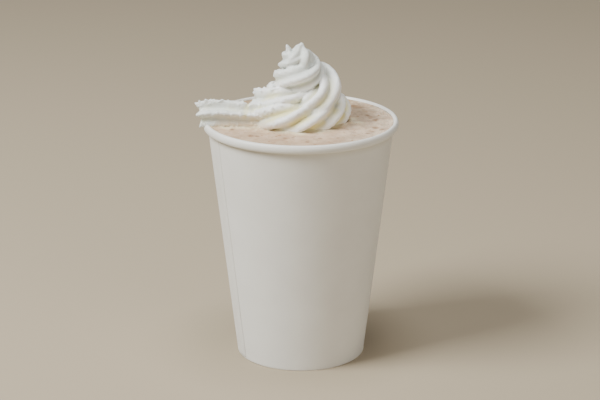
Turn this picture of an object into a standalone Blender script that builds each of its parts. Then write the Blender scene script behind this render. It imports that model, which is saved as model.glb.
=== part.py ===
"""A cup of hot chocolate topped with piped whipped cream, at real size.

Units are metres and +Z is up. The origin is the centre of the cup's foot, on the table.
The cream's loose end hangs over the lip on the -X side, and its coil climbs counter-clockwise
as seen from above, from the front (-Y) to a peak over the middle of the cup.
"""

import math

import bmesh
import bpy
from mathutils import Matrix, Vector

# Paper cup, 12 oz size
CUP_HEIGHT = 0.113
RIM_RADIUS = 0.045
FOOT_RADIUS = 0.030
PAPER = 0.00045
LIP_WIDTH = 0.0026
LIP_HEIGHT = 0.0040
LIP_CURL_END = math.radians(-140)
FOOT_HEM = 0.0058
BASE_HEIGHT = 0.0066
FIT_GAP = 0.0003
TURN_STEPS = 48
LIP_STEPS = 10
WELD = 0.00001

# Drink
DRINK_BELOW_RIM = 0.0015
DRINK_TOP = CUP_HEIGHT - DRINK_BELOW_RIM
MENISCUS = 0.0006
MENISCUS_WIDTH = 0.0018
CREAM_ROOM = 0.00045

# Whipped cream, piped through a star nozzle: a loose trail, and a rope coiled to a peak.
# Each star has its number of points and how sharp they are.
TRAIL_STAR = (6, 1.5)
COIL_STAR = (5, 0.75)
STAR_DEPTH = 0.38
STAR_STEPS = 40
ROPE_STEP = 0.0018
TOOTH_LENGTH = 0.0018
TORN_HOLLOW = 0.0012
CORE_DEPTH = 0.0012
CORE_HEIGHT = 0.0225
CORE_FOOT_RADIUS = 0.0140
CORE_TOP_RADIUS = 0.0088
CORE_SIDES = 24
CORE_TO_BACK = 0.0010
LIP_CUTTER_DEPTH = 0.020
FUSE_VOXEL = 0.0009
KEEP_FACES = 0.22

# Stations of the trail: share of its length, x, y, height over the drink, rope radius,
# turns of the rope about itself
TRAIL = (
    (0.00, -0.0446, -0.0050, 0.0049, 0.0066, 0.125),
    (0.12, -0.0420, -0.0052, 0.0053, 0.0068, 0.125),
    (0.35, -0.0376, -0.0056, 0.0056, 0.0069, 0.125),
    (1.00, -0.0150, -0.0064, 0.0044, 0.0062, 0.125),
)

# Stations of the two coils: turns from the front, radius of the path, x and y of its middle,
# height over the drink, rope radius, turns of the rope about itself
LOWER_COIL = (
    (-0.38, 0.0142, -0.0010, 0.0020, 0.0036, 0.0056, -0.20),
    (-0.25, 0.0156, -0.0012, 0.0014, 0.0046, 0.0075, 0.00),
    (-0.10, 0.0154, -0.0020, 0.0006, 0.0048, 0.0078, 0.25),
    (0.00, 0.0142, -0.0004, 0.0004, 0.0050, 0.0078, 0.43),
    (0.25, 0.0148, 0.0006, 0.0020, 0.0054, 0.0078, 0.88),
    (0.50, 0.0146, 0.0002, 0.0018, 0.0070, 0.0077, 1.16),
    (0.75, 0.0146, -0.0006, 0.0012, 0.0094, 0.0075, 1.42),
    (0.88, 0.0124, -0.0002, 0.0010, 0.0114, 0.0070, 1.54),
    (1.00, 0.0078, 0.0010, 0.0010, 0.0120, 0.0054, 1.66),
)
UPPER_COIL = (
    (0.97, 0.0112, 0.0030, 0.0000, 0.0094, 0.0028, -0.08),
    (1.00, 0.0120, 0.0030, 0.0000, 0.0100, 0.0050, -0.04),
    (1.06, 0.0124, 0.0024, 0.0004, 0.0114, 0.0065, 0.04),
    (1.25, 0.0104, 0.0014, 0.0010, 0.0178, 0.0070, 0.25),
    (1.50, 0.0090, 0.0014, 0.0012, 0.0205, 0.0069, 0.45),
    (1.75, 0.0069, -0.0004, 0.0005, 0.0194, 0.0062, 0.61),
    (2.00, 0.0069, -0.0006, 0.0005, 0.0221, 0.0062, 0.73),
    (2.25, 0.0050, 0.0004, 0.0008, 0.0246, 0.0057, 0.87),
    (2.50, 0.0044, 0.0000, 0.0008, 0.0276, 0.0055, 0.97),
    (2.75, 0.0046, -0.0003, 0.0005, 0.0280, 0.0054, 1.05),
    (3.00, 0.0024, -0.0006, 0.0002, 0.0298, 0.0040, 1.17),
    (3.15, 0.0008, -0.0006, 0.0002, 0.0296, 0.0020, 1.23),
)

# Stations of the peak, drawn straight up: share, x, y, height over the drink, rope radius, turns
PEAK = (
    (0.00, -0.0004, -0.0006, 0.0220, 0.0060, 0.00),
    (0.35, -0.0004, -0.0010, 0.0290, 0.0072, 0.02),
    (0.62, 0.0000, -0.0008, 0.0326, 0.0058, 0.05),
    (0.80, 0.0000, -0.0004, 0.0350, 0.0030, 0.08),
    (0.92, 0.0004, 0.0000, 0.0364, 0.0013, 0.10),
    (1.00, 0.0003, 0.0002, 0.0373, 0.0005, 0.12),
)

# Stations of the small second tip beside the peak
SIDE_TIP = (
    (0.00, -0.0046, -0.0008, 0.0300, 0.0026, 0.00),
    (0.55, -0.0055, -0.0010, 0.0340, 0.0015, 0.00),
    (1.00, -0.0066, -0.0008, 0.0366, 0.0005, 0.00),
)


def clear_scene():
    """Removes what the scene holds, so that the script builds from nothing."""
    for old in list(bpy.data.objects):
        bpy.data.objects.remove(old, do_unlink=True)


def make_collection(name):
    """A collection under the scene's own."""
    made = bpy.data.collections.new(name)
    bpy.context.scene.collection.children.link(made)
    return made


def make_material(name, colour, roughness):
    """A plain Principled material."""
    material = bpy.data.materials.new(name)
    material.use_nodes = True
    shader = material.node_tree.nodes["Principled BSDF"]
    shader.inputs["Base Color"].default_value = (*colour, 1.0)
    shader.inputs["Roughness"].default_value = roughness
    shader.inputs["Metallic"].default_value = 0.0
    return material


def make_profile(name, points, closed, collection):
    """An object whose mesh is an outline of (radius, height) points in the XZ plane."""
    mesh = bpy.data.meshes.new(name)
    outline = bmesh.new()
    corners = [outline.verts.new((radius, 0.0, height)) for radius, height in points]
    for start, end in zip(corners, corners[1:]):
        outline.edges.new((start, end))
    if closed:
        outline.edges.new((corners[-1], corners[0]))
    outline.to_mesh(mesh)
    outline.free()
    made = bpy.data.objects.new(name, mesh)
    collection.objects.link(made)
    return made


def turn_round(made):
    """Turns an outline once round the cup's axis."""
    screw = made.modifiers.new("Turn", "SCREW")
    screw.axis = "Z"
    screw.steps = TURN_STEPS
    screw.render_steps = TURN_STEPS
    screw.use_merge_vertices = True
    screw.merge_threshold = WELD
    screw.use_smooth_shade = True


def give_thickness(made):
    """Gives a turned sheet the paper's thickness, half to each side."""
    shell = made.modifiers.new("Paper", "SOLIDIFY")
    shell.thickness = PAPER
    shell.offset = 0.0
    shell.use_even_offset = True


def wall_radius(height):
    """Radius of the middle of the conical wall's paper at a height."""
    under_lip = RIM_RADIUS - LIP_WIDTH + PAPER / 2
    top = CUP_HEIGHT - LIP_HEIGHT / 2
    foot = FOOT_RADIUS - PAPER / 2
    return foot + (under_lip - foot) * height / top


def lip_point(angle, grow=0.0):
    """A point (radius, height) on the middle of the lip's rolled paper, grown outwards by grow."""
    half_width = (LIP_WIDTH - PAPER) / 2 + grow
    half_height = (LIP_HEIGHT - PAPER) / 2 + grow
    centre_radius = RIM_RADIUS - LIP_WIDTH / 2
    centre_height = CUP_HEIGHT - LIP_HEIGHT / 2
    return (
        centre_radius + half_width * math.cos(angle),
        centre_height + half_height * math.sin(angle),
    )


def lip_arc(start, end, steps, grow=0.0):
    """Points along the lip's section from one angle to another."""
    return [
        lip_point(start + (end - start) * step / steps, grow)
        for step in range(steps + 1)
    ]


def hem_radius():
    """Radius of the hem: the wall's paper turned in and up inside the base's skirt."""
    return FOOT_RADIUS - PAPER * 2.5 - FIT_GAP * 2


def build_wall(collection):
    """The wall: lip rolled outwards, cone, and the hem turned up inside the foot."""
    lip = lip_arc(LIP_CURL_END, math.pi, LIP_STEPS)
    foot_outside = (wall_radius(0.0), PAPER / 2)
    foot_inside = (hem_radius(), PAPER / 2)
    hem_top = (hem_radius(), FOOT_HEM)
    profile = [*lip, foot_outside, foot_inside, hem_top]
    wall = make_profile("cup_wall", profile, False, collection)
    turn_round(wall)
    give_thickness(wall)
    return wall


def build_base(collection):
    """The base: a disc with a skirt that goes down between the wall and its hem."""
    skirt = FOOT_RADIUS - PAPER * 1.5 - FIT_GAP
    profile = [
        (0.0, BASE_HEIGHT),
        (skirt, BASE_HEIGHT),
        (skirt, PAPER * 1.5 + FIT_GAP),
    ]
    base = make_profile("cup_base", profile, False, collection)
    turn_round(base)
    give_thickness(base)
    return base


def build_drink(collection):
    """The drink: fills the cup from the base to its level, with a small rise at the paper."""
    inset = PAPER / 2 + FIT_GAP
    bottom = BASE_HEIGHT + inset
    top = DRINK_TOP + MENISCUS
    near_wall = wall_radius(DRINK_TOP) - inset
    profile = [
        (0.0, DRINK_TOP),
        (near_wall - MENISCUS_WIDTH, DRINK_TOP),
        (near_wall - MENISCUS_WIDTH / 3, DRINK_TOP + MENISCUS / 3),
        (wall_radius(top) - inset, top),
        (wall_radius(bottom) - inset, bottom),
        (0.0, bottom),
    ]
    drink = make_profile("hot_chocolate", profile, False, collection)
    turn_round(drink)
    return drink


def smooth_station(stations, key):
    """The values at a key, on a smooth curve through stations that start with their keys."""
    last = len(stations) - 1
    index = next((i for i in range(1, last) if key < stations[i][0]), last) - 1
    before, start, end, after = (
        Vector(stations[min(max(index + step, 0), last)]) for step in (-1, 0, 1, 2)
    )
    span = end[0] - start[0]
    share = (key - start[0]) / span
    slope_in = (end - before) * span / (end[0] - before[0])
    slope_out = (after - start) * span / (after[0] - start[0])
    square, cube = share**2, share**3
    return (
        start * (2 * cube - 3 * square + 1)
        + slope_in * (cube - 2 * square + share)
        + end * (3 * square - 2 * cube)
        + slope_out * (cube - square)
    )[1:]


def coil_point(stations, turn):
    """(place, rope radius, twist) of the rope's middle at a turn of a coil."""
    radius, middle_x, middle_y, height, rope, twist = smooth_station(stations, turn)
    angle = turn * math.tau - math.pi / 2
    x = middle_x + radius * math.cos(angle)
    y = middle_y + radius * math.sin(angle)
    return Vector((x, y, DRINK_TOP + height)), rope, -twist * math.tau


def coil_route(stations):
    """Points along a coiled rope, through its stations."""
    turn, last_turn = stations[0][0], stations[-1][0]
    route = []
    while turn < last_turn:
        route.append(coil_point(stations, turn))
        path_radius = smooth_station(stations, turn)[0]
        turn += ROPE_STEP / math.tau / max(path_radius, 3 * ROPE_STEP)
    route.append(coil_point(stations, last_turn))
    return route


def open_route(stations):
    """Points along a rope that isn't coiled, through its stations."""
    ends = Vector(stations[-1][1:4]) - Vector(stations[0][1:4])
    steps = round(ends.length / ROPE_STEP)
    route = []
    for step in range(steps + 1):
        x, y, height, rope, twist = smooth_station(stations, step / steps)
        route.append((Vector((x, y, DRINK_TOP + height)), rope, twist * math.tau))
    return route


def star_crest(star, angle):
    """One on a point of the star, nought in the groove between two."""
    points, sharpness = star
    return (0.5 + 0.5 * math.cos(points * angle)) ** sharpness


def close_end(cream, ring, hollow):
    """Closes a rope's end, with its middle moved along +X by hollow."""
    cap = bmesh.ops.contextual_create(cream, geom=ring)["faces"]
    middle = bmesh.ops.poke(cream, faces=cap)["verts"]
    bmesh.ops.translate(cream, verts=middle, vec=(hollow, 0.0, 0.0))


def next_ring(cream, ring):
    """Extrudes a ring of corners once and returns the new corners in the same order."""
    edges = {edge for corner in ring for edge in corner.link_edges}
    edges = [edge for edge in edges if all(corner in ring for corner in edge.verts)]
    grown = bmesh.ops.extrude_edge_only(cream, edges=edges)["geom"]
    fresh = {tuple(item.co): item for item in grown if isinstance(item, bmesh.types.BMVert)}
    return [fresh[tuple(corner.co)] for corner in ring]


def pipe_rope(cream, star, route, level=(0, 0, 1), torn=False):
    """Pipes a rope of cream: a star outline extruded along its route, with closed ends.

    The star is set out from the direction level. A torn end has teeth at the star's points.
    """
    ring = bmesh.ops.create_circle(cream, segments=STAR_STEPS, radius=1.0)["verts"]
    angles = [math.atan2(corner.co.y, corner.co.x) for corner in ring]
    first, last = list(ring), len(route) - 1
    for index, (place, rope, twist) in enumerate(route):
        ahead = route[min(index + 1, last)][0] - route[max(index - 1, 0)][0]
        ahead.normalize()
        side = Vector(level).cross(ahead).normalized()
        up = ahead.cross(side)
        if index:
            ring = next_ring(cream, ring)
        for corner, angle in zip(ring, angles):
            radius = rope * (1.0 - STAR_DEPTH * (1.0 - star_crest(star, angle)))
            turned = angle + twist
            corner.co = place + (side * math.cos(turned) + up * math.sin(turned)) * radius
            if torn and index == 0:
                corner.co -= ahead * TOOTH_LENGTH * star_crest(star, angle)
    close_end(cream, first, TORN_HOLLOW if torn else 0.0)
    close_end(cream, ring, 0.0)


def add_core(cream):
    """Adds the cone of cream inside the coil, so that no hollow is left between its turns."""
    height = CORE_DEPTH + CORE_HEIGHT
    middle = Vector((0.0, CORE_TO_BACK, DRINK_TOP - CORE_DEPTH + height / 2))
    bmesh.ops.create_cone(
        cream,
        cap_ends=True,
        segments=CORE_SIDES,
        radius1=CORE_FOOT_RADIUS,
        radius2=CORE_TOP_RADIUS,
        depth=height,
        matrix=Matrix.Translation(middle),
    )


def cream_mesh():
    """The ropes and the core of the cream as overlapping closed skins in one mesh."""
    cream = bmesh.new()
    pipe_rope(cream, TRAIL_STAR, open_route(TRAIL), torn=True)
    pipe_rope(cream, COIL_STAR, coil_route(LOWER_COIL))
    pipe_rope(cream, COIL_STAR, coil_route(UPPER_COIL))
    pipe_rope(cream, COIL_STAR, open_route(PEAK), level=(0, 1, 0))
    pipe_rope(cream, COIL_STAR, open_route(SIDE_TIP), level=(0, 1, 0))
    add_core(cream)
    bmesh.ops.recalc_face_normals(cream, faces=cream.faces)
    mesh = bpy.data.meshes.new("whipped_cream")
    cream.to_mesh(mesh)
    cream.free()
    return mesh


def fuse_turns(made):
    """Fuses the rope's touching turns into one skin, then thins its faces."""
    fuse = made.modifiers.new("Fuse turns", "REMESH")
    fuse.mode = "VOXEL"
    fuse.voxel_size = FUSE_VOXEL
    fuse.use_smooth_shade = True
    thin = made.modifiers.new("Thin faces", "DECIMATE")
    thin.ratio = KEEP_FACES


def build_lip_cutter(collection):
    """The room that the lip needs in the cream: its section grown by the gap, and the wall below."""
    grow = PAPER / 2 + FIT_GAP
    arc = lip_arc(0.0, math.pi, LIP_STEPS, grow)
    inner, outer = arc[-1][0], arc[0][0]
    below = CUP_HEIGHT - LIP_CUTTER_DEPTH
    profile = [(outer, below), (inner, below), *reversed(arc)]
    cutter = make_profile("lip_room", profile, True, collection)
    turn_round(cutter)
    cutter.hide_render = True
    cutter.display_type = "WIRE"
    return cutter


def cut(made, cutter, name):
    """Cuts one object's shape out of another."""
    boolean = made.modifiers.new(name, "BOOLEAN")
    boolean.operation = "DIFFERENCE"
    boolean.solver = "EXACT"
    boolean.object = cutter


def build_cream(parts, cutters):
    """The cream: trail and coil fused into one piece, and cut clear of the lip."""
    cream = bpy.data.objects.new("whipped_cream", cream_mesh())
    parts.objects.link(cream)
    fuse_turns(cream)
    cut(cream, build_lip_cutter(cutters), "Clear the lip")
    return cream


def build_cream_room(cream, cutters):
    """The cream a little grown, for the hollow that it presses into the drink."""
    room = bpy.data.objects.new("cream_room", cream.data)
    cutters.objects.link(room)
    fuse_turns(room)
    grow = room.modifiers.new("Grow", "DISPLACE")
    grow.strength = CREAM_ROOM
    grow.mid_level = 0.0
    room.hide_render = True
    room.display_type = "WIRE"
    return room


def main():
    clear_scene()
    parts = make_collection("hot_chocolate_cup")
    cutters = make_collection("cutters")
    paper = make_material("white_paper", (0.80, 0.79, 0.75), 0.45)
    chocolate = make_material("milky_chocolate", (0.58, 0.44, 0.34), 0.35)
    whipped = make_material("whipped_cream", (0.90, 0.88, 0.82), 0.40)
    wall = build_wall(parts)
    base = build_base(parts)
    drink = build_drink(parts)
    cream = build_cream(parts, cutters)
    cut(drink, build_cream_room(cream, cutters), "Room for the cream")
    for made, material in ((wall, paper), (base, paper), (drink, chocolate), (cream, whipped)):
        made.data.materials.append(material)


main()
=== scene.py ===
"""The looks of a cup of hot chocolate with piped whipped cream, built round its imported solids."""

import math
import random

import bmesh
import bpy
from mathutils import Matrix, Vector, noise
from mathutils.bvhtree import BVHTree
from mathutils.kdtree import KDTree


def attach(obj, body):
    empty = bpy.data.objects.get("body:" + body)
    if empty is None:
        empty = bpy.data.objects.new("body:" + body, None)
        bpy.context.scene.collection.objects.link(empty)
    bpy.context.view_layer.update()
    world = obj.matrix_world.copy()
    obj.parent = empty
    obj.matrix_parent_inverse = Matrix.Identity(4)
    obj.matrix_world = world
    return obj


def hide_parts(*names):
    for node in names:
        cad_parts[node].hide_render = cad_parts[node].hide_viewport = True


# Camera, as solved from the cup's outline in the photograph
LENS = 116.2
SENSOR_WIDTH = 36.0
CAMERA_ELEVATION = math.radians(18.394)
CAMERA_DISTANCE = 0.9019
CAMERA_TARGET = Vector((-0.00035, 0.0, 0.07346))

# Corners of a mesh nearer to each other than this are joined
WELD = 0.000002

# Paper cup, 12 oz size, the same sizes as the solids
CUP_HEIGHT = 0.113
RIM_RADIUS = 0.045
FOOT_RADIUS = 0.030
PAPER = 0.00045
LIP_WIDTH = 0.0026
LIP_HEIGHT = 0.0040
LIP_CURL_END = math.radians(-165)
FOOT_HEM = 0.0058
BASE_HEIGHT = 0.0066
FIT_GAP = 0.0003
CUP_TURN_STEPS = 192
LIP_STEPS = 26
CORNER_STEPS = 4
CORNER_RADIUS = 0.0006
FOLD_SQUARENESS = 1.35
BASE_BEND = 0.0006

# Glued side seam, an overlap of the wall's two edges: a strip sunk a little into the wall
SEAM_ANGLE = math.radians(-154.7)
SEAM_WIDTH = 0.0065
SEAM_RISE = 0.00012
SEAM_PAPER = 0.00012
SEAM_SINK = 0.00004
SEAM_FOOT = 0.0010
SEAM_UNDER_LIP = 0.0003
SEAM_STEPS = 8
SEAM_ROWS = 24

# Drink. It reaches a little into the paper at its edge, side and base.
DRINK_TOP = CUP_HEIGHT - 0.0015
EDGE_OVERLAP = 0.00015
SIDE_OVERLAP = 0.0001
BASE_OVERLAP = 0.00005
SIDE_MIDDLE = 0.09
DRINK_RINGS = 84
DRINK_SPOKES = 288
MENISCUS = 0.0006
MENISCUS_WIDTH = 0.0022
MELT_REACH = 0.0050
MELT_LIFT = 0.0012
PUDDLE_LIFT = 0.0004
FOAM_LUMP = 0.00034
FOAM_SCALE = 150
FROTH_SCALE = 900
FOAM_RIGHT = (0.012, 0.032)
FOAM_EDGE = 0.002

# Whipped cream, piped through a star nozzle: a loose trail, and a rope coiled to a peak.
# Each star has its number of points and how sharp they are.
TRAIL_STAR = (6, 1.5)
COIL_STAR = (5, 0.75)
STAR_DEPTH = 0.38
STAR_STEPS = 80
ROPE_STEP = 0.0009
TOOTH_LENGTH = 0.0018
TORN_HOLLOW = 0.0014
CORE_DEPTH = 0.0012
CORE_HEIGHT = 0.0225
CORE_FOOT_RADIUS = 0.0140
CORE_TOP_RADIUS = 0.0088
CORE_SIDES = 48
CORE_TO_BACK = 0.0010
CREAM_VOXEL = 0.00042
SOFTEN_SHARE = 0.5
SOFTEN_PASSES = 3
NEAR_STATIONS = 12

# Unevenness of the ropes, and lumps and tears of the cream's skin, larger where it is torn
STAR_WANDER = 0.06
WANDER_ROUND = 1.5
WANDER_ALONG = 140
LUMP_SCALE = 420
LUMP_HEIGHT = 0.00011
TEAR_SCALE = 750
TEAR_START = 0.15
TEAR_HEIGHT = 0.0004
TORN_HEIGHT = 0.0013
TORN_ZONE = (-0.004, -0.014)

# Crease where the trail meets the coil: its x at the drink's level, how far it leans to the
# right as it rises, its half width, its depth and the height at which it begins
CREASE_X = -0.0262
CREASE_LEAN = 0.2
CREASE_WIDTH = 0.0011
CREASE_DEPTH = 0.0009
CREASE_FOOT = 0.0026
CREASE_WANDER = 0.0008
CREASE_SCALE = 260

# Stations of the trail: share of its length, x, y, height over the drink, rope radius,
# turns of the rope about itself
TRAIL = (
    (0.00, -0.0452, -0.0050, 0.0048, 0.0066, 0.125),
    (0.12, -0.0428, -0.0052, 0.0053, 0.0068, 0.125),
    (0.35, -0.0376, -0.0056, 0.0056, 0.0069, 0.125),
    (1.00, -0.0150, -0.0064, 0.0044, 0.0062, 0.125),
)

# Stations of the two coils: turns from the front, radius of the path, x and y of its middle,
# height over the drink, rope radius, turns of the rope about itself
LOWER_COIL = (
    (-0.38, 0.0142, -0.0010, 0.0020, 0.0036, 0.0056, -0.20),
    (-0.25, 0.0156, -0.0012, 0.0014, 0.0046, 0.0075, 0.00),
    (-0.10, 0.0154, -0.0020, 0.0006, 0.0048, 0.0078, 0.25),
    (0.00, 0.0142, -0.0004, 0.0004, 0.0050, 0.0078, 0.43),
    (0.25, 0.0148, 0.0006, 0.0020, 0.0054, 0.0078, 0.88),
    (0.50, 0.0146, 0.0002, 0.0018, 0.0070, 0.0077, 1.16),
    (0.75, 0.0146, -0.0006, 0.0012, 0.0094, 0.0075, 1.42),
    (0.88, 0.0124, -0.0002, 0.0010, 0.0114, 0.0070, 1.54),
    (1.00, 0.0078, 0.0010, 0.0010, 0.0120, 0.0054, 1.66),
)
UPPER_COIL = (
    (0.97, 0.0112, 0.0030, 0.0000, 0.0094, 0.0028, -0.08),
    (1.00, 0.0120, 0.0030, 0.0000, 0.0100, 0.0050, -0.04),
    (1.06, 0.0124, 0.0024, 0.0004, 0.0114, 0.0065, 0.04),
    (1.25, 0.0104, 0.0014, 0.0010, 0.0178, 0.0070, 0.25),
    (1.50, 0.0090, 0.0014, 0.0012, 0.0205, 0.0069, 0.45),
    (1.75, 0.0069, -0.0004, 0.0005, 0.0194, 0.0062, 0.61),
    (2.00, 0.0069, -0.0006, 0.0005, 0.0221, 0.0062, 0.73),
    (2.25, 0.0050, 0.0004, 0.0008, 0.0246, 0.0057, 0.87),
    (2.50, 0.0044, 0.0000, 0.0008, 0.0276, 0.0055, 0.97),
    (2.75, 0.0046, -0.0003, 0.0005, 0.0280, 0.0054, 1.05),
    (3.00, 0.0024, -0.0006, 0.0002, 0.0298, 0.0040, 1.17),
    (3.15, 0.0008, -0.0006, 0.0002, 0.0296, 0.0020, 1.23),
)

# Stations of the peak, drawn straight up: share, x, y, height over the drink, rope radius, turns
PEAK = (
    (0.00, -0.0004, -0.0006, 0.0220, 0.0060, 0.00),
    (0.35, -0.0004, -0.0010, 0.0290, 0.0072, 0.02),
    (0.62, 0.0000, -0.0008, 0.0326, 0.0058, 0.05),
    (0.80, 0.0000, -0.0004, 0.0350, 0.0030, 0.08),
    (0.92, 0.0004, 0.0000, 0.0364, 0.0013, 0.10),
    (1.00, 0.0003, 0.0002, 0.0373, 0.0005, 0.12),
)

# Stations of the small second tip beside the peak
SIDE_TIP = (
    (0.00, -0.0046, -0.0008, 0.0300, 0.0026, 0.00),
    (0.55, -0.0055, -0.0010, 0.0340, 0.0015, 0.00),
    (1.00, -0.0066, -0.0008, 0.0366, 0.0005, 0.00),
)

# Melted cream that has run out on the drink, and specks of chocolate: x, y, radius
PUDDLES = (
    (0.0222, 0.0040, 0.0040),
    (0.0262, -0.0030, 0.0042),
    (0.0276, -0.0082, 0.0026),
    (-0.0235, -0.0120, 0.0022),
    (-0.0150, -0.0165, 0.0026),
)
SPECKS = (
    (-0.0223, -0.0235, 0.0018),
    (-0.0195, -0.0240, 0.0012),
    (0.0272, 0.0237, 0.0026),
    (0.0250, 0.0262, 0.0018),
    (0.0310, 0.0105, 0.0013),
    (0.0345, 0.0020, 0.0016),
    (0.0335, -0.0105, 0.0013),
    (0.0365, -0.0135, 0.0012),
    (0.0300, -0.0195, 0.0013),
    (0.0325, -0.0165, 0.0010),
    (-0.0070, -0.0275, 0.0011),
    (-0.0035, -0.0262, 0.0009),
    (0.0030, -0.0330, 0.0010),
    (0.0085, -0.0272, 0.0010),
    (0.0165, -0.0270, 0.0009),
    (-0.0310, -0.0140, 0.0011),
    (0.0150, 0.0330, 0.0014),
    (-0.0120, 0.0320, 0.0012),
)

# How uneven the outlines of those spots are
SPOT_WANDER = 0.45
SPOT_SCALE = 420

# Bubbles in the foam: a band by the paper, and loose ones round a middle angle
BUBBLE_SEED = 12
RIM_BUBBLES = 230
LOOSE_BUBBLES = 170
BUBBLE_SMALLEST = 0.00014
BUBBLE_LARGEST = 0.00042
BUBBLE_FLATNESS = 0.55
BUBBLE_CLEARANCE = 3
RIM_BAND = 0.0012
LOOSE_MIDDLE = -0.5
LOOSE_SPREAD = 1.3
LOOSE_AREA = (0.25, 0.97)
LOOSE_SIZE = 0.8

# Colours of the paper
PAPER_WHITE = (0.80, 0.79, 0.745)
PAPER_MOTTLE = (0.765, 0.75, 0.705)
# Painted shade: the lip's shadow on the wall, painted into the paper's colour
PAPER_LIP_SHADE = (0.60, 0.56, 0.47)

# Colours of the cream
CREAM_WHITE = (0.95, 0.95, 0.93)
# Painted shade in the cream's grooves
CREAM_GROOVE_SHADE = (0.58, 0.585, 0.51)
CREAM_YELLOW = (0.86, 0.80, 0.42)
# Painted grey-green shade on the trail and the peak
CREAM_TRAIL_PEAK_SHADE = (0.71, 0.74, 0.71)
CREAM_SOAKED = (0.70, 0.56, 0.38)

# Colours of the drink, its foam and what floats in it
DRINK_DARK = (0.41, 0.26, 0.165)
DRINK_BROWN = (0.53, 0.37, 0.25)
DRINK_LIGHT = (0.64, 0.475, 0.345)
DRINK_RIGHT = (0.82, 0.71, 0.57)
DRINK_LEFT = (0.46, 0.335, 0.235)
# Painted shade at the back of the drink
DRINK_BACK_SHADE = (0.35, 0.24, 0.135)
FOAM_PALE = (0.74, 0.59, 0.45)
FOAM_STAIN = (0.42, 0.28, 0.18)
PINHOLE = (0.36, 0.23, 0.15)
FLAKE = (0.40, 0.22, 0.11)
SPECK = (0.25, 0.135, 0.065)
MELT_EDGE = (0.66, 0.51, 0.33)
MELTED_CREAM = (0.84, 0.78, 0.58)
BUBBLE_DARK = (0.50, 0.36, 0.25)
BUBBLE_LIGHT = (0.61, 0.47, 0.36)

# Studio: floor and backdrop as (y, z) points, and lights as name, place, size, watts, colour
FLOOR_COLOUR = (0.40, 0.33, 0.235)
FLOOR_PROFILE = ((-3.0, 0.0), (2.0, 0.0), (3.2, 0.5))
FLOOR_HALF_WIDTH = 4.0
LIGHTS = (
    ("window", (-0.82, -0.38, 1.00), 0.55, 28.5, (0.98, 1.0, 0.99)),
    ("ceiling", (0.05, -0.05, 1.30), 0.45, 8.5, (1.0, 1.0, 0.98)),
    ("fill", (0.9, -1.0, 0.15), 1.0, 8.0, (1.0, 0.92, 0.80)),
)
LIGHT_TARGET = Vector((0.0, 0.0, 0.09))
SURROUND_COLOUR = (0.93, 0.92, 0.88)
SURROUND_STRENGTH = 0.16

# Name of the node group that the materials share
GRAIN = "fine_grain"

# Sockets of Blender's mix node when it mixes colours
MIX_SHARE, MIX_FIRST, MIX_SECOND, MIX_RESULT = 0, 6, 7, 2


def new_object(name, mesh):
    """An object for a finished mesh, at the origin."""
    made = bpy.data.objects.new(name, mesh)
    bpy.context.scene.collection.objects.link(made)
    return made


def shaded_mesh(shape, name):
    """Turns a bmesh into a smoothly shaded mesh."""
    for face in shape.faces:
        face.smooth = True
    mesh = bpy.data.meshes.new(name)
    shape.to_mesh(mesh)
    shape.free()
    return mesh


def finish_mesh(shape, name):
    """Turns a bmesh into a smoothly shaded mesh, joined up and with its faces outwards."""
    bmesh.ops.remove_doubles(shape, verts=shape.verts, dist=WELD)
    bmesh.ops.recalc_face_normals(shape, faces=shape.faces)
    return shaded_mesh(shape, name)


def turned_mesh(name, profile, steps=CUP_TURN_STEPS):
    """A mesh turned round the cup's axis from (radius, height) points, by one full spin."""
    shape = bmesh.new()
    corners = [shape.verts.new((radius, 0.0, height)) for radius, height in profile]
    edges = [shape.edges.new(pair) for pair in zip(corners, corners[1:])]
    bmesh.ops.spin(
        shape,
        geom=corners + edges,
        axis=(0, 0, 1),
        cent=(0, 0, 0),
        angle=math.tau,
        steps=steps,
        use_merge=True,
    )
    return finish_mesh(shape, name)


def give_thickness(made, thickness):
    """Gives a sheet its thickness, half to each side."""
    shell = made.modifiers.new("Paper", "SOLIDIFY")
    shell.thickness = thickness
    shell.offset = 0.0
    shell.use_even_offset = True


def keep(piece, node, material):
    """Puts a finished piece in place of a CAD node."""
    piece.data.materials.append(material)
    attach(piece, "root")
    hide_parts(node)


def share_between(value, start, end):
    """How far a value has come from start to end, 0 to 1."""
    return max(0.0, min(1.0, (value - start) / (end - start)))


def wall_radius(height):
    """Radius of the middle of the conical wall's paper at a height."""
    under_lip = RIM_RADIUS - LIP_WIDTH + PAPER / 2
    top = CUP_HEIGHT - LIP_HEIGHT / 2
    foot = FOOT_RADIUS - PAPER / 2
    return foot + (under_lip - foot) * height / top


def lip_point(angle):
    """A point (radius, height) on the middle of the lip's rolled paper."""
    half_width = (LIP_WIDTH - PAPER) / 2
    half_height = (LIP_HEIGHT - PAPER) / 2
    centre_radius = RIM_RADIUS - LIP_WIDTH / 2
    centre_height = CUP_HEIGHT - LIP_HEIGHT / 2
    return (
        centre_radius + half_width * math.cos(angle),
        centre_height + half_height * math.sin(angle),
    )


def hem_radius():
    """Radius of the hem: the wall's paper turned in and up inside the base's skirt."""
    return FOOT_RADIUS - PAPER * 2.5 - FIT_GAP * 2


def foot_fold():
    """The rounded fold at the foot, from the wall's outside round to the hem."""
    centre = (wall_radius(0.0) + hem_radius()) / 2
    half = (wall_radius(0.0) - hem_radius()) / 2
    points = []
    for step in range(2 * CORNER_STEPS + 1):
        angle = -math.pi * step / (2 * CORNER_STEPS)
        flat = max(-1.0, min(1.0, FOLD_SQUARENESS * math.cos(angle)))
        drop = min(1.0, -FOLD_SQUARENESS * math.sin(angle))
        height = PAPER / 2 + CORNER_RADIUS * (1 - drop)
        points.append((centre + half * flat, height))
    return points


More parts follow.
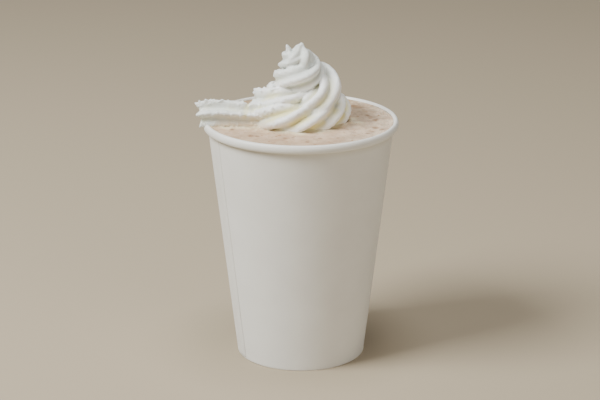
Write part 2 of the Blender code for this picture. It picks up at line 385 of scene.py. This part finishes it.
def build_wall(material):
    """The wall: lip rolled outwards, cone, rounded fold at the foot, and the hem."""
    span = math.pi - LIP_CURL_END
    lip = [lip_point(LIP_CURL_END + span * step / LIP_STEPS) for step in range(LIP_STEPS + 1)]
    profile = [*lip, *foot_fold(), (hem_radius(), FOOT_HEM)]
    wall = new_object("cup_side", turned_mesh("cup_side", profile))
    give_thickness(wall, PAPER)
    keep(wall, "cup_wall", material)
    return wall


def build_base(material):
    """The base: a disc with a skirt that goes down between the wall and its hem."""
    skirt = FOOT_RADIUS - PAPER * 1.5 - FIT_GAP
    profile = [
        (0.0, BASE_HEIGHT),
        (skirt * 0.5, BASE_HEIGHT),
        (skirt - BASE_BEND * 4, BASE_HEIGHT),
        (skirt - BASE_BEND, BASE_HEIGHT - BASE_BEND / 6),
        (skirt - BASE_BEND / 6, BASE_HEIGHT - BASE_BEND * 5 / 6),
        (skirt, PAPER * 1.5 + FIT_GAP),
    ]
    base = new_object("cup_bottom", turned_mesh("cup_bottom", profile))
    give_thickness(base, PAPER)
    keep(base, "cup_base", material)
    return base


def build_seam(material):
    """The overlap of the wall's glued edges: a thin strip up the outside of the cone."""
    top = CUP_HEIGHT - LIP_HEIGHT - SEAM_UNDER_LIP
    shape = bmesh.new()
    bmesh.ops.create_grid(shape, x_segments=SEAM_STEPS, y_segments=SEAM_ROWS, size=0.5)
    for corner in shape.verts:
        share = 0.5 + 0.5 * math.sin(math.pi * corner.co.y)
        height = SEAM_FOOT + share * (top - SEAM_FOOT)
        middle = corner.co.x * 2
        lift = SEAM_RISE * (1 - middle**6)
        radius = wall_radius(height) + PAPER / 2 - SEAM_SINK + lift
        angle = SEAM_ANGLE + corner.co.x * SEAM_WIDTH / radius
        corner.co = (radius * math.cos(angle), radius * math.sin(angle), height)
    seam = new_object("cup_side_seam", finish_mesh(shape, "cup_side_seam"))
    give_thickness(seam, SEAM_PAPER)
    seam.data.materials.append(material)
    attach(seam, "root")
    return seam


def smooth_station(stations, key):
    """The values at a key, on a smooth curve through stations that start with their keys."""
    last = len(stations) - 1
    index = next((i for i in range(1, last) if key < stations[i][0]), last) - 1
    before, start, end, after = (
        Vector(stations[min(max(index + step, 0), last)]) for step in (-1, 0, 1, 2)
    )
    span = end[0] - start[0]
    share = (key - start[0]) / span
    slope_in = (end - before) * span / (end[0] - before[0])
    slope_out = (after - start) * span / (after[0] - start[0])
    square, cube = share**2, share**3
    return (
        start * (2 * cube - 3 * square + 1)
        + slope_in * (cube - 2 * square + share)
        + end * (3 * square - 2 * cube)
        + slope_out * (cube - square)
    )[1:]


def coil_point(stations, turn):
    """(place, rope radius, twist) of the rope's middle at a turn of a coil."""
    radius, middle_x, middle_y, height, rope, twist = smooth_station(stations, turn)
    angle = turn * math.tau - math.pi / 2
    x = middle_x + radius * math.cos(angle)
    y = middle_y + radius * math.sin(angle)
    return Vector((x, y, DRINK_TOP + height)), rope, -twist * math.tau


def coil_route(stations):
    """Points along a coiled rope, through its stations."""
    turn, last_turn = stations[0][0], stations[-1][0]
    route = []
    while turn < last_turn:
        route.append(coil_point(stations, turn))
        path_radius = smooth_station(stations, turn)[0]
        turn += ROPE_STEP / math.tau / max(path_radius, 3 * ROPE_STEP)
    route.append(coil_point(stations, last_turn))
    return route


def open_route(stations):
    """Points along a rope that isn't coiled, through its stations."""
    ends = Vector(stations[-1][1:4]) - Vector(stations[0][1:4])
    steps = round(ends.length / ROPE_STEP)
    route = []
    for step in range(steps + 1):
        x, y, height, rope, twist = smooth_station(stations, step / steps)
        route.append((Vector((x, y, DRINK_TOP + height)), rope, twist * math.tau))
    return route


def star_crest(star, angle):
    """One on a point of the star, nought in the groove between two."""
    points, sharpness = star
    return (0.5 + 0.5 * math.cos(points * angle)) ** sharpness


def star_radius(star, angle, along):
    """Radius of the rope's star at an angle, a little uneven along the rope."""
    round_x, round_y = math.cos(angle) * WANDER_ROUND, math.sin(angle) * WANDER_ROUND
    wander = STAR_WANDER * noise.noise((round_x, round_y, along * WANDER_ALONG))
    return 1.0 - STAR_DEPTH * (1.0 - star_crest(star, angle)) + wander


def close_end(cream, ring, hollow):
    """Closes a rope's end, with its middle moved along +X by hollow."""
    cap = bmesh.ops.contextual_create(cream, geom=ring)["faces"]
    middle = bmesh.ops.poke(cream, faces=cap)["verts"]
    bmesh.ops.translate(cream, verts=middle, vec=(hollow, 0.0, 0.0))


def next_ring(cream, ring):
    """Extrudes a ring of corners once and returns the new corners in the same order."""
    edges = {edge for corner in ring for edge in corner.link_edges}
    edges = [edge for edge in edges if all(corner in ring for corner in edge.verts)]
    grown = bmesh.ops.extrude_edge_only(cream, edges=edges)["geom"]
    fresh = {tuple(item.co): item for item in grown if isinstance(item, bmesh.types.BMVert)}
    return [fresh[tuple(corner.co)] for corner in ring]


def pipe_rope(cream, star, route, level=(0, 0, 1), torn=False):
    """Pipes a rope of cream: a star outline extruded along its route, with closed ends.

    The star is set out from the direction level. A torn end has teeth at the star's points.
    """
    ring = bmesh.ops.create_circle(cream, segments=STAR_STEPS, radius=1.0)["verts"]
    angles = [math.atan2(corner.co.y, corner.co.x) for corner in ring]
    first, last = list(ring), len(route) - 1
    for index, (place, rope, twist) in enumerate(route):
        ahead = route[min(index + 1, last)][0] - route[max(index - 1, 0)][0]
        ahead.normalize()
        side = Vector(level).cross(ahead).normalized()
        up = ahead.cross(side)
        if index:
            ring = next_ring(cream, ring)
        for corner, angle in zip(ring, angles):
            radius = rope * star_radius(star, angle, index * ROPE_STEP)
            turned = angle + twist
            corner.co = place + (side * math.cos(turned) + up * math.sin(turned)) * radius
            if torn and index == 0:
                corner.co -= ahead * TOOTH_LENGTH * star_crest(star, angle)
    close_end(cream, first, TORN_HOLLOW if torn else 0.0)
    close_end(cream, ring, 0.0)


def add_core(cream):
    """The cone of cream inside the coil."""
    height = CORE_DEPTH + CORE_HEIGHT
    middle = Vector((0.0, CORE_TO_BACK, DRINK_TOP - CORE_DEPTH + height / 2))
    bmesh.ops.create_cone(
        cream,
        cap_ends=True,
        segments=CORE_SIDES,
        radius1=CORE_FOOT_RADIUS,
        radius2=CORE_TOP_RADIUS,
        depth=height,
        matrix=Matrix.Translation(middle),
    )


def fused(name, mesh):
    """A new mesh with its overlapping skins fused into one and lightly smoothed."""
    rough = new_object(name, mesh)
    fuse = rough.modifiers.new("Fuse", "REMESH")
    fuse.mode = "VOXEL"
    fuse.voxel_size = CREAM_VOXEL
    soften = rough.modifiers.new("Soften", "SMOOTH")
    soften.factor = SOFTEN_SHARE
    soften.iterations = SOFTEN_PASSES
    graph = bpy.context.evaluated_depsgraph_get()
    made = bpy.data.meshes.new_from_object(rough.evaluated_get(graph))
    made.name = name
    bpy.data.objects.remove(rough)
    return made


def crease_share(place):
    """One in the middle of the crease across the trail, falling to nought beside and below it."""
    rise = max(0.0, place.z - DRINK_TOP)
    above = share_between(rise, CREASE_FOOT, 2 * CREASE_FOOT)
    wander = CREASE_WANDER * noise.noise(place * CREASE_SCALE)
    middle = CREASE_X + CREASE_LEAN * rise + wander
    return above * math.exp(-(((place.x - middle) / CREASE_WIDTH) ** 2))


def roughen(mesh, grooves, creases):
    """Gives the cream's skin the crease, and small tears and lumps, mostly on its crests."""
    shape = bmesh.new()
    shape.from_mesh(mesh)
    bmesh.ops.recalc_face_normals(shape, faces=shape.faces)
    shape.normal_update()
    moves = []
    for corner, groove, crease in zip(shape.verts, grooves, creases):
        lumps = noise.fractal(corner.co * LUMP_SCALE, 1.0, 2.0, 3)
        tears = max(0.0, noise.noise(corner.co * TEAR_SCALE) - TEAR_START) * (1.0 - groove)
        reach = TEAR_HEIGHT + TORN_HEIGHT * share_between(corner.co.x, *TORN_ZONE)
        sunk = CREASE_DEPTH * crease * (1.0 - groove)
        moves.append(corner.normal * (lumps * LUMP_HEIGHT + tears * reach - sunk))
    for corner, move in zip(shape.verts, moves):
        corner.co += move
    for face in shape.faces:
        face.smooth = True
    shape.to_mesh(mesh)
    shape.free()


def groove_depths(mesh, routes):
    """For each point of the cream, how deep it lies under the crests of its rope, 0 to 1."""
    stations = [station for route in routes for station in route]
    tree = KDTree(len(stations))
    for index, station in enumerate(stations):
        tree.insert(station[0], index)
    tree.balance()
    depths = []
    for corner in mesh.vertices:
        near = tree.find_n(corner.co, NEAR_STATIONS)
        depth = max(stations[index][1] - gap for _, index, gap in near)
        rope = stations[near[0][1]][1]
        depths.append(share_between(depth, 0.0, rope * STAR_DEPTH))
    return depths


def store_mask(mesh, name, values):
    """Keeps one number for each point of a mesh, for its material to read."""
    mask = mesh.attributes.new(name, "FLOAT", "POINT")
    mask.data.foreach_set("value", values)


def build_cream(material):
    """The whipped cream: trail, coil and core fused into one skin, then torn a little."""
    trail, peak = open_route(TRAIL), open_route(PEAK)
    coils = (coil_route(LOWER_COIL), coil_route(UPPER_COIL))
    shape = bmesh.new()
    pipe_rope(shape, TRAIL_STAR, trail, torn=True)
    for coil in coils:
        pipe_rope(shape, COIL_STAR, coil)
    for upright in (peak, open_route(SIDE_TIP)):
        pipe_rope(shape, COIL_STAR, upright, level=(0, 1, 0))
    add_core(shape)
    mesh = fused("piped_cream", finish_mesh(shape, "piped_cream_rough"))
    grooves = groove_depths(mesh, (trail, *coils, peak))
    creases = [crease_share(corner.co) for corner in mesh.vertices]
    roughen(mesh, grooves, creases)
    store_mask(mesh, "groove", grooves)
    store_mask(mesh, "crease", creases)
    cream = new_object("piped_cream", mesh)
    keep(cream, "whipped_cream", material)
    return cream


def drink_edge():
    """Radius of the drink's surface, just inside the paper."""
    return wall_radius(DRINK_TOP) - PAPER / 2 + EDGE_OVERLAP


def drink_profile():
    """Points (radius, height) of the drink: its fine surface, its side and its base."""
    bottom = BASE_HEIGHT + PAPER / 2 - BASE_OVERLAP
    surface = [(drink_edge() * ring / DRINK_RINGS, DRINK_TOP) for ring in range(DRINK_RINGS + 1)]
    side = [
        (wall_radius(height) - PAPER / 2 + SIDE_OVERLAP, height) for height in (SIDE_MIDDLE, bottom)
    ]
    return [*surface, *side, (0.0, bottom)]


def foam_height(place):
    """Height of the foam's small lumps over the drink's level, rougher on the right."""
    flat = Vector((place.x, place.y, 0.0))
    soft = noise.fractal(flat * FOAM_SCALE, 1.0, 2.0, 3)
    fine = noise.noise(flat * FROTH_SCALE)
    right = share_between(place.x, *FOAM_RIGHT)
    return FOAM_LUMP * (soft * (0.6 + 1.1 * right) + 0.25 * fine * (0.4 + right))


def surface_height(place):
    """Height over the drink's level at a place: its rise at the paper, and its foam."""
    gap = drink_edge() - place.xy.length
    rise = max(0.0, 1.0 - gap / MENISCUS_WIDTH) ** 2
    return MENISCUS * rise + foam_height(place) * min(1.0, gap / FOAM_EDGE)


def nearest_spot(spots, place):
    """How far inside the nearest of some (x, y, radius) spots a place lies: 1 in its middle."""
    wobble = 1.0 + SPOT_WANDER * noise.noise(place * SPOT_SCALE)
    gaps = (math.hypot(place.x - x, place.y - y) / (radius * wobble) for x, y, radius in spots)
    return max(0.0, 1.0 - 0.5 * min(gaps))


def skin_tree(piece):
    """A search tree over a piece's faces."""
    return BVHTree.FromPolygons(
        [corner.co for corner in piece.data.vertices],
        [tuple(face.vertices) for face in piece.data.polygons],
    )


def build_drink(skin, material):
    """The drink: a fine surface with foam and with cream melting into it, and its body."""
    mesh = turned_mesh("chocolate_drink", drink_profile(), DRINK_SPOKES)
    melts, specks = [], []
    for corner in mesh.vertices:
        melt = speck = 0.0
        if corner.co.z > DRINK_TOP - WELD:
            near = skin.find_nearest(corner.co, 2 * RIM_RADIUS)[3]
            touch = share_between(near, MELT_REACH, 0.0)
            puddle = nearest_spot(PUDDLES, corner.co)
            melt = max(touch, puddle)
            speck = nearest_spot(SPECKS, corner.co)
            melted = max(MELT_LIFT * touch**4, PUDDLE_LIFT * puddle**2)
            corner.co.z += surface_height(corner.co) + melted
        melts.append(melt)
        specks.append(speck)
    store_mask(mesh, "melt", melts)
    store_mask(mesh, "speck", specks)
    drink = new_object("chocolate_drink", mesh)
    keep(drink, "hot_chocolate", material)
    return drink


def bubble_places():
    """Seeded places and sizes for the foam's bubbles: a ring by the paper, and loose clusters."""
    draw = random.Random(BUBBLE_SEED)
    edge = wall_radius(DRINK_TOP) - PAPER / 2
    places = []
    for _ in range(RIM_BUBBLES):
        angle = draw.uniform(0, math.tau)
        size = draw.uniform(BUBBLE_SMALLEST, BUBBLE_LARGEST)
        radius = edge - size - abs(draw.gauss(0.0, RIM_BAND))
        places.append((radius * math.cos(angle), radius * math.sin(angle), size))
    for _ in range(LOOSE_BUBBLES):
        angle = draw.gauss(LOOSE_MIDDLE, LOOSE_SPREAD)
        radius = edge * math.sqrt(draw.uniform(*LOOSE_AREA))
        size = draw.uniform(BUBBLE_SMALLEST, BUBBLE_LARGEST * LOOSE_SIZE)
        places.append((radius * math.cos(angle), radius * math.sin(angle), size))
    return places


def build_bubbles(skin, drink, material):
    """Small domes of foam on the drink, none of them inside the cream."""
    surface = skin_tree(drink)
    shape = bmesh.new()
    for x, y, size in bubble_places():
        level = surface.ray_cast(Vector((x, y, CUP_HEIGHT + LIP_HEIGHT)), Vector((0, 0, -1)))[0]
        if level is None or skin.find_nearest(level)[3] < BUBBLE_CLEARANCE * size:
            continue
        flatten = Matrix.Diagonal((1.0, 1.0, BUBBLE_FLATNESS, 1.0))
        place = Matrix.Translation(level) @ flatten
        bmesh.ops.create_icosphere(shape, subdivisions=2, radius=size, matrix=place)
    bubbles = new_object("foam_bubbles", shaded_mesh(shape, "foam_bubbles"))
    bubbles.data.materials.append(material)
    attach(bubbles, "root")
    return bubbles


def new_material(name, colour, roughness):
    """A material with its shader, and the object's own coordinates for its patterns."""
    material = bpy.data.materials.new(name)
    material.use_nodes = True
    tree = material.node_tree
    shader = tree.nodes["Principled BSDF"]
    shader.inputs["Base Color"].default_value = (*colour, 1.0)
    shader.inputs["Roughness"].default_value = roughness
    places = tree.nodes.new("ShaderNodeTexCoord")
    return material, tree, shader, places.outputs["Object"]


def let_light_in(shader, weight, spread, depth):
    """Lets light a little way under a surface, by its own spread for red, green and blue."""
    shader.inputs["Subsurface Weight"].default_value = weight
    shader.inputs["Subsurface Radius"].default_value = spread
    shader.inputs["Subsurface Scale"].default_value = depth


def add_axes(tree, places):
    """The x, y and z of the object's coordinates."""
    parts = tree.nodes.new("ShaderNodeSeparateXYZ")
    tree.links.new(places, parts.inputs["Vector"])
    return parts.outputs["X"], parts.outputs["Y"], parts.outputs["Z"]


def add_noise(tree, places, scale, detail):
    """A noise pattern over the object's coordinates."""
    pattern = tree.nodes.new("ShaderNodeTexNoise")
    pattern.inputs["Scale"].default_value = scale
    pattern.inputs["Detail"].default_value = detail
    tree.links.new(places, pattern.inputs["Vector"])
    return pattern.outputs["Fac"]


def add_ramp(tree, value, first, last, between=()):
    """Colours for a value, from (position, colour) stops."""
    ramp = tree.nodes.new("ShaderNodeValToRGB")
    for element, (position, colour) in zip(ramp.color_ramp.elements, (first, last)):
        element.position = position
        element.color = (*colour, 1.0)
    for position, colour in between:
        ramp.color_ramp.elements.new(position).color = (*colour, 1.0)
    tree.links.new(value, ramp.inputs["Fac"])
    return ramp.outputs["Color"]


def add_mix(tree, share, first, second):
    """Mixes two colours by a share. The first is a socket or three numbers."""
    mix = tree.nodes.new("ShaderNodeMix")
    mix.data_type = "RGBA"
    tree.links.new(share, mix.inputs[MIX_SHARE])
    if isinstance(first, bpy.types.NodeSocket):
        tree.links.new(first, mix.inputs[MIX_FIRST])
    else:
        mix.inputs[MIX_FIRST].default_value = (*first, 1.0)
    mix.inputs[MIX_SECOND].default_value = (*second, 1.0)
    return mix.outputs[MIX_RESULT]


def add_range(tree, value, low, high, to_low=0.0, to_high=1.0):
    """Maps a value from one range to another, held at both ends."""
    mapped = tree.nodes.new("ShaderNodeMapRange")
    mapped.inputs["From Min"].default_value = low
    mapped.inputs["From Max"].default_value = high
    mapped.inputs["To Min"].default_value = to_low
    mapped.inputs["To Max"].default_value = to_high
    tree.links.new(value, mapped.inputs["Value"])
    return mapped.outputs["Result"]


def add_mask(tree, name):
    """Reads a mask stored on the mesh."""
    mask = tree.nodes.new("ShaderNodeAttribute")
    mask.attribute_name = name
    return mask.outputs["Fac"]


def add_math(tree, operation, first, second):
    """Joins two values by one operation. The second may be a plain number."""
    joined = tree.nodes.new("ShaderNodeMath")
    joined.operation = operation
    tree.links.new(first, joined.inputs[0])
    if isinstance(second, bpy.types.NodeSocket):
        tree.links.new(second, joined.inputs[1])
    else:
        joined.inputs[1].default_value = second
    return joined.outputs["Value"]


def add_sum(tree, first, second):
    """Adds two values."""
    return add_math(tree, "ADD", first, second)


def add_product(tree, first, second):
    """Multiplies two values."""
    return add_math(tree, "MULTIPLY", first, second)


def add_bump(tree, shader, height, distance):
    """Roughens the shader's surface by a height."""
    bump = tree.nodes.new("ShaderNodeBump")
    bump.inputs["Distance"].default_value = distance
    tree.links.new(height, bump.inputs["Height"])
    tree.links.new(bump.outputs["Normal"], shader.inputs["Normal"])


def grain_group():
    """The grain shared by the materials: fine pores over broad waves, as roughness and normal."""
    if GRAIN in bpy.data.node_groups:
        return bpy.data.node_groups[GRAIN]
    group = bpy.data.node_groups.new(GRAIN, "ShaderNodeTree")
    group.interface.new_socket("Place", in_out="INPUT", socket_type="NodeSocketVector")
    for name in ("Scale", "Smoothest", "Roughest", "Depth"):
        group.interface.new_socket(name, in_out="INPUT", socket_type="NodeSocketFloat")
    for name, kind in (("Grain", "Float"), ("Roughness", "Float"), ("Normal", "Vector")):
        group.interface.new_socket(name, in_out="OUTPUT", socket_type="NodeSocket" + kind)
    given = group.nodes.new("NodeGroupInput").outputs
    result = group.nodes.new("NodeGroupOutput").inputs
    fine = group.nodes.new("ShaderNodeTexNoise")
    fine.inputs["Detail"].default_value = 3.0
    broad = group.nodes.new("ShaderNodeTexNoise")
    broad.inputs["Detail"].default_value = 2.0
    for pattern in (fine, broad):
        group.links.new(given["Place"], pattern.inputs["Vector"])
    group.links.new(given["Scale"], fine.inputs["Scale"])
    group.links.new(add_product(group, given["Scale"], 0.11), broad.inputs["Scale"])
    rough = add_range(group, fine.outputs["Fac"], 0.3, 0.7)
    group.links.new(given["Smoothest"], rough.node.inputs["To Min"])
    group.links.new(given["Roughest"], rough.node.inputs["To Max"])
    bump = group.nodes.new("ShaderNodeBump")
    pores = add_product(group, fine.outputs["Fac"], 0.4)
    height = add_sum(group, pores, broad.outputs["Fac"])
    group.links.new(height, bump.inputs["Height"])
    group.links.new(given["Depth"], bump.inputs["Distance"])
    group.links.new(fine.outputs["Fac"], result["Grain"])
    group.links.new(rough, result["Roughness"])
    group.links.new(bump.outputs["Normal"], result["Normal"])
    return group


def add_grain(tree, shader, places, scale, smoothest, roughest, depth):
    """Gives a shader the shared grain and returns the grain's own value."""
    grain = tree.nodes.new("ShaderNodeGroup")
    grain.node_tree = grain_group()
    tree.links.new(places, grain.inputs["Place"])
    grain.inputs["Scale"].default_value = scale
    grain.inputs["Smoothest"].default_value = smoothest
    grain.inputs["Roughest"].default_value = roughest
    grain.inputs["Depth"].default_value = depth
    tree.links.new(grain.outputs["Roughness"], shader.inputs["Roughness"])
    tree.links.new(grain.outputs["Normal"], shader.inputs["Normal"])
    return grain.outputs["Grain"]


def paper_material():
    """White coated paper: smooth, faintly mottled, with painted shade in a narrow band right under
    the lip.
    """
    material, tree, shader, places = new_material("white_cup_paper", PAPER_WHITE, 0.42)
    height = add_axes(tree, places)[2]
    mottle = add_noise(tree, places, 55.0, 3.0)
    colour = add_ramp(tree, mottle, (0.3, PAPER_MOTTLE), (0.7, PAPER_WHITE))
    # Painted shade: a narrow darker band on the wall right under the lip
    under_lip = CUP_HEIGHT - LIP_HEIGHT
    below = add_range(tree, height, under_lip - 0.0036, under_lip - 0.0008)
    above = add_range(tree, height, under_lip + 0.0006, under_lip - 0.0002, 0.0, 0.6)
    colour = add_mix(tree, add_product(tree, below, above), colour, PAPER_LIP_SHADE)
    tree.links.new(colour, shader.inputs["Base Color"])
    add_grain(tree, shader, places, 1500.0, 0.38, 0.50, 0.00004)
    shader.inputs["Specular IOR Level"].default_value = 0.4
    let_light_in(shader, 0.06, (1.0, 0.9, 0.8), 0.0008)
    return material


def cream_tints(tree, across, height, patches):
    """White cream with painted shade in its grooves, a yellow tint there too, and painted
    grey-green shade on the trail and the peak.
    """
    groove = add_mask(tree, "groove")
    low = add_range(tree, height, DRINK_TOP + 0.024, DRINK_TOP + 0.006)
    # Painted shade in the grooves, half as strong near the drink
    deep = add_range(tree, groove, 0.22, 0.92)
    deep = add_product(tree, deep, add_range(tree, low, 0.3, 1.0, 1.0, 0.5))
    colour = add_mix(tree, deep, CREAM_WHITE, CREAM_GROOVE_SHADE)
    yellow = add_product(tree, add_range(tree, groove, 0.10, 0.75), low)
    yellow = add_product(tree, yellow, patches)
    crease = add_range(tree, add_mask(tree, "crease"), 0.15, 0.85, 0.0, 0.9)
    colour = add_mix(tree, add_sum(tree, yellow, crease), colour, CREAM_YELLOW)
    # Painted grey-green shade over the trail and the peak
    trail = add_range(tree, across, -0.012, -0.034, 0.0, 0.8)
    peak = add_range(tree, height, DRINK_TOP + 0.020, DRINK_TOP + 0.027, 0.0, 0.8)
    return add_mix(tree, add_sum(tree, trail, peak), colour, CREAM_TRAIL_PEAK_SHADE)


def soaked_share(tree, across, height, patches):
    """How far the drink has soaked into the foot of the trail."""
    ragged = add_sum(tree, height, add_product(tree, patches, -0.0022))
    soaked = add_range(tree, ragged, DRINK_TOP + 0.0034, DRINK_TOP + 0.0012, 0.0, 0.85)
    coil_end = add_range(tree, across, -0.010, -0.020)
    torn_end = add_range(tree, across, -0.041, -0.036)
    return add_product(tree, soaked, add_product(tree, coil_end, torn_end))


def cream_material():
    """Whipped cream: soft and white all through, with painted shade and a yellow tint in its
    grooves, painted shade on the trail and the peak, and a soaked foot.
    """
    material, tree, shader, places = new_material("soft_whipped_cream", CREAM_WHITE, 0.38)
    across, _, height = add_axes(tree, places)
    patches = add_range(tree, add_noise(tree, places, 130.0, 2.0), 0.38, 0.58, 0.15, 1.0)
    colour = cream_tints(tree, across, height, patches)
    colour = add_mix(tree, soaked_share(tree, across, height, patches), colour, CREAM_SOAKED)
    tree.links.new(colour, shader.inputs["Base Color"])
    add_grain(tree, shader, places, 1300.0, 0.34, 0.50, 0.00008)
    shader.inputs["Specular IOR Level"].default_value = 0.35
    let_light_in(shader, 0.12, (1.0, 0.85, 0.7), 0.0012)
    return material


def drink_base(tree, swirl, across, depth):
    """The drink's own brown in soft swirls, paler on the right, with painted shade darkening it at
    the back.
    """
    colour = add_ramp(
        tree, swirl, (0.34, DRINK_DARK), (0.66, DRINK_LIGHT), between=((0.50, DRINK_BROWN),)
    )
    right = add_range(tree, across, 0.010, 0.026, 0.0, 0.30)
    colour = add_mix(tree, right, colour, DRINK_RIGHT)
    left = add_range(tree, across, -0.004, -0.024, 0.0, 0.40)
    colour = add_mix(tree, left, colour, DRINK_LEFT)
    # Painted shade: darker towards the back
    back = add_range(tree, depth, 0.006, 0.034, 0.0, 0.85)
    return add_mix(tree, back, colour, DRINK_BACK_SHADE)


def add_foam_marks(tree, places, across, colour):
    """Pale blotches and brown stains in the foam, most of them on the right."""
    right = add_range(tree, across, 0.012, 0.030, 0.45, 1.0)
    blotches = add_range(tree, add_noise(tree, places, 310.0, 3.0), 0.42, 0.62, 0.0, 0.7)
    colour = add_mix(tree, add_product(tree, blotches, right), colour, FOAM_PALE)
    stains = add_range(tree, add_noise(tree, places, 210.0, 3.0), 0.50, 0.64, 0.0, 0.55)
    return add_mix(tree, add_product(tree, stains, right), colour, FOAM_STAIN)


def add_fine_specks(tree, places, froth, colour):
    """Pinholes of burst bubbles, and fine flakes of chocolate."""
    pinholes = add_range(tree, froth, 0.0, 0.25, 1.0, 0.0)
    sparse = add_range(tree, add_noise(tree, places, 240.0, 2.0), 0.50, 0.60)
    colour = add_mix(tree, add_product(tree, pinholes, sparse), colour, PINHOLE)
    flakes = add_range(tree, add_noise(tree, places, 420.0, 1.0), 0.66, 0.74)
    return add_mix(tree, flakes, colour, FLAKE)


def add_melted_cream(tree, swirl, colour):
    """Cream that melts into the drink, with a ragged darker edge."""
    melt = add_mask(tree, "melt")
    ragged = add_product(tree, melt, add_range(tree, swirl, 0.3, 0.7, 0.4, 1.5))
    colour = add_mix(tree, add_range(tree, ragged, 0.25, 0.65, 0.0, 0.6), colour, MELT_EDGE)
    return add_mix(tree, add_range(tree, ragged, 0.55, 1.0, 0.0, 0.9), colour, MELTED_CREAM)


def drink_material():
    """Milky hot chocolate: a pale foam with fine bubbles, and cream melting into it."""
    material, tree, shader, places = new_material("milky_hot_chocolate", DRINK_LIGHT, 0.5)
    across, depth, _ = add_axes(tree, places)
    swirl = add_noise(tree, places, 70.0, 5.0)
    cells = tree.nodes.new("ShaderNodeTexVoronoi")
    cells.inputs["Scale"].default_value = 1100.0
    tree.links.new(places, cells.inputs["Vector"])
    froth = add_range(tree, cells.outputs["Distance"], 0.0, 0.6)
    colour = drink_base(tree, swirl, across, depth)
    colour = add_foam_marks(tree, places, across, colour)
    colour = add_fine_specks(tree, places, froth, colour)
    colour = add_melted_cream(tree, swirl, colour)
    speck = add_range(tree, add_mask(tree, "speck"), 0.36, 0.72, 0.0, 0.7)
    colour = add_mix(tree, speck, colour, SPECK)
    tree.links.new(colour, shader.inputs["Base Color"])
    tree.links.new(add_range(tree, swirl, 0.3, 0.7, 0.42, 0.60), shader.inputs["Roughness"])
    add_bump(tree, shader, add_sum(tree, froth, swirl), 0.00010)
    shader.inputs["Specular IOR Level"].default_value = 0.18
    let_light_in(shader, 0.20, (1.0, 0.6, 0.4), 0.0020)
    return material


def bubble_material():
    """Thin pale skin of the foam's bubbles."""
    material, tree, shader, places = new_material("foam_bubble_skin", BUBBLE_LIGHT, 0.16)
    shade = add_grain(tree, shader, places, 300.0, 0.12, 0.22, 0.00002)
    colour = add_ramp(tree, shade, (0.35, BUBBLE_DARK), (0.65, BUBBLE_LIGHT))
    tree.links.new(colour, shader.inputs["Base Color"])
    shader.inputs["Coat Weight"].default_value = 0.2
    shader.inputs["Coat Roughness"].default_value = 0.06
    return material


def floor_material():
    """Plain pale studio floor."""
    return new_material("pale_floor", FLOOR_COLOUR, 0.7)[0]


def build_floor():
    """A wide plain floor that curves up into a backdrop."""
    shape = bmesh.new()
    corners = [shape.verts.new((-FLOOR_HALF_WIDTH, y, z)) for y, z in FLOOR_PROFILE]
    edges = [shape.edges.new(pair) for pair in zip(corners, corners[1:])]
    wide = bmesh.ops.extrude_edge_only(shape, edges=edges)["geom"]
    moved = [item for item in wide if isinstance(item, bmesh.types.BMVert)]
    bmesh.ops.translate(shape, verts=moved, vec=(2 * FLOOR_HALF_WIDTH, 0.0, 0.0))
    floor = new_object("studio_floor", finish_mesh(shape, "studio_floor"))
    floor.data.materials.append(floor_material())


def build_camera():
    """The camera where the photograph was taken from."""
    lens = bpy.data.cameras.new("photo_camera")
    lens.lens = LENS
    lens.sensor_width = SENSOR_WIDTH
    lens.clip_end = 20.0
    camera = bpy.data.objects.new("photo_camera", lens)
    bpy.context.scene.collection.objects.link(camera)
    back = Vector((0.0, -math.cos(CAMERA_ELEVATION), math.sin(CAMERA_ELEVATION)))
    camera.location = CAMERA_TARGET + back * CAMERA_DISTANCE
    camera.rotation_euler = (math.pi / 2 - CAMERA_ELEVATION, 0.0, 0.0)
    bpy.context.scene.camera = camera


def add_light(name, place, size, watts, colour):
    """A soft square lamp aimed at the cup."""
    lamp = bpy.data.lights.new(name, "AREA")
    lamp.size = size
    lamp.energy = watts
    lamp.color = colour
    light = bpy.data.objects.new(name, lamp)
    light.location = place
    light.rotation_euler = (LIGHT_TARGET - Vector(place)).to_track_quat("-Z", "Y").to_euler()
    bpy.context.scene.collection.objects.link(light)


def build_lights():
    """Soft daylight from the left and from above, a weak warm fill, and an even surround."""
    for light in LIGHTS:
        add_light(*light)
    world = bpy.data.worlds.new("studio")
    world.use_nodes = True
    surround = world.node_tree.nodes["Background"]
    surround.inputs["Color"].default_value = (*SURROUND_COLOUR, 1.0)
    surround.inputs["Strength"].default_value = SURROUND_STRENGTH
    bpy.context.scene.world = world


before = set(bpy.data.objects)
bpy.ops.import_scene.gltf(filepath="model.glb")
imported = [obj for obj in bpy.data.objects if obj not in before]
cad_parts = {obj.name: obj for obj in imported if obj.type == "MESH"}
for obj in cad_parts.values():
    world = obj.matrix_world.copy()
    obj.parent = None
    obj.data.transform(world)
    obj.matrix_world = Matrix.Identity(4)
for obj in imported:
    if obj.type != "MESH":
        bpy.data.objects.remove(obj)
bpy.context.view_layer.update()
build_camera()
build_lights()
build_floor()
paper = paper_material()
build_wall(paper)
build_base(paper)
build_seam(paper)
cream_skin = skin_tree(build_cream(cream_material()))
drink_piece = build_drink(cream_skin, drink_material())
build_bubbles(cream_skin, drink_piece, bubble_material())
